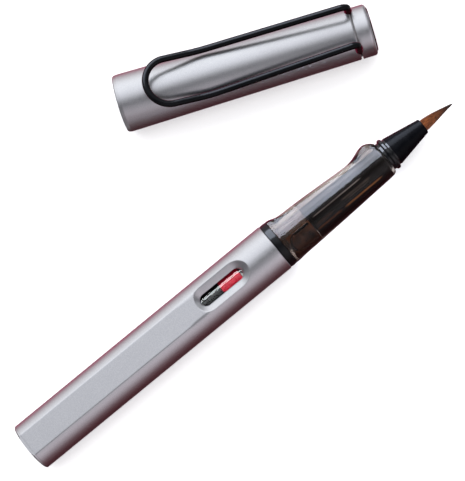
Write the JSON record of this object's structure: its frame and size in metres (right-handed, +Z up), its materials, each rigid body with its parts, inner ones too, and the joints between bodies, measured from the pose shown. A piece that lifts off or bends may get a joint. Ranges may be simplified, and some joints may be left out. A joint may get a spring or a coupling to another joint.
{
  "type": "refillable brush pen",
  "caption": "Refillable brush pen with satin metal barrel, smoked grip, screw-piston converter and tapered hair tip, its wire-clip cap pulled off and laid alongside.",
  "frame": {"origin": "centre of the bounding box in plan, on the surface that the pen and its cap lie on", "axes": "+X along the pen's axis towards the brush tip, +Z up, with the barrel window and the clip on top"},
  "size_m": [0.1296, 0.0636, 0.0174],
  "materials": {
    "silver_anodised": "satin blasted and anodised, fine sparkle",
    "gloss_black": "polished moulded plastic",
    "black_plastic": "moulded, semi matte",
    "grey_plastic": "moulded, semi matte",
    "smoked_plastic": "smoked translucent plastic, polished",
    "clear_plastic": "clear moulded plastic",
    "red_seal": "moulded red elastomer",
    "bright_steel": "bright",
    "brass_crimp": "drawn",
    "brush_hair": "fine tapered bristles",
    "wick_fibre": "bonded fibre rod",
    "black_wire": "gloss black spring wire"
  },
  "bodies": {
    "section": {"grip_section": "smoked_plastic", "section_core": "black_plastic"},
    "collar": {"collar_ring": "gloss_black"},
    "barrel": {"barrel_tube": "silver_anodised", "barrel_end_plug": "silver_anodised", "barrel_thread_insert": "black_plastic"},
    "converter": {"converter_tube": "clear_plastic", "converter_mouth": "black_plastic", "drive_sleeve": "gloss_black"},
    "piston": {"piston_seal": "red_seal", "piston_carrier": "black_plastic"},
    "knob": {"twist_knob": "black_plastic", "lead_screw": "grey_plastic", "thrust_washer": "bright_steel"},
    "brush_head": {"head_stem": "black_plastic", "head_collar": "gloss_black", "brush_cone": "gloss_black", "tuft_ferrule": "brass_crimp", "brush_tuft": "brush_hair", "ink_wick": "wick_fibre"},
    "cap": {"cap_tube": "silver_anodised", "inner_cap": "grey_plastic", "clip_anchor": "black_plastic", "cap_crown": "silver_anodised", "cap_finial": "gloss_black", "cap_screw": "bright_steel"},
    "clip": {"clip_wire": "black_wire"}
  },
  "joints": [
    {"name": "cap_pull_off", "type": "slide", "parent": "section", "child": "cap", "axis": [0.9181, -0.3963, 0], "range_m": [-0.062, 0]},
    {"name": "clip_flex", "type": "hinge", "parent": "cap", "child": "clip", "pos_m": [0.05761, 0.00213, 0.01013], "axis": [0.3963, 0.9181, 0], "range_deg": [0, 3.5], "stiffness_Nm_per_rad": 2.5},
    {"name": "barrel_turn", "type": "hinge", "parent": "section", "child": "collar", "pos_m": [0.01137, -0.02556, 0.0062], "axis": [-1, 0, 0], "range_deg": [0, 1260]},
    {"name": "barrel_withdraw", "type": "slide", "parent": "collar", "child": "barrel", "axis": [-1, 0, 0], "range_m": [0, 0.068]},
    {"name": "converter_pull", "type": "slide", "parent": "section", "child": "converter", "axis": [-1, 0, 0], "range_m": [0, 0.007]},
    {"name": "knob_turn", "type": "hinge", "parent": "converter", "child": "knob", "pos_m": [-0.04902, -0.02556, 0.0062], "axis": [1, 0, 0], "range_deg": [-960.2, 792.2]},
    {"name": "piston_slide", "type": "slide", "parent": "converter", "child": "piston", "axis": [1, 0, 0], "range_m": [-0.0099, 0.012]},
    {"name": "head_pull", "type": "slide", "parent": "section", "child": "brush_head", "axis": [1, 0, 0], "range_m": [0, 0.0125]}
  ],
  "couplings": [
    {"joint": "knob_turn", "follows": "piston_slide", "rad_per_m": -1396.3}
  ]
}
